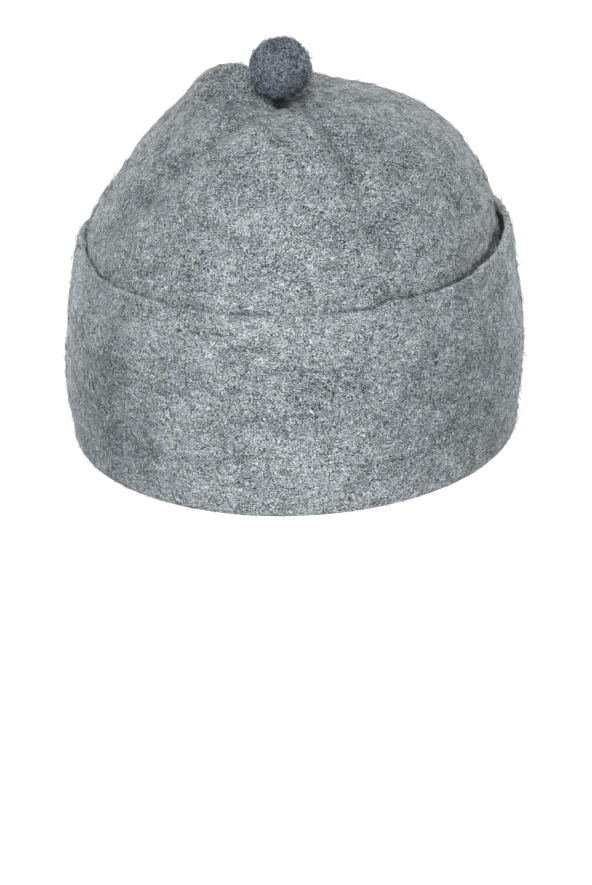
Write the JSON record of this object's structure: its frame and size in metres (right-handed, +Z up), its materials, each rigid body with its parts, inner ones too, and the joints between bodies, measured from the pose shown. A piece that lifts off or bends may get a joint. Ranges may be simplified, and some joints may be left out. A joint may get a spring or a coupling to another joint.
{
  "type": "felt cap",
  "caption": "Hollow felt cap with a soft rounded crown, a tall turned-up cuff and a felted ball stitched on top.",
  "frame": {"origin": "on the surface that the cap stands on, under the middle of its bounding box", "axes": "+Z up, -Y towards the wearer's back and the side that the picture shows, +X towards the wearer's right"},
  "size_m": [0.176, 0.2138, 0.1572],
  "materials": {
    "grey_felt": "matt mottled grey wool felt with short loose fibres",
    "slate_felt": "matt dark blue-grey felted wool",
    "dark_thread": "matt dark sewing thread, wound"
  },
  "bodies": {
    "root": {"cap_body": "grey_felt", "top_ball": "slate_felt", "ball_thread": "dark_thread"}
  },
  "joints": []
}
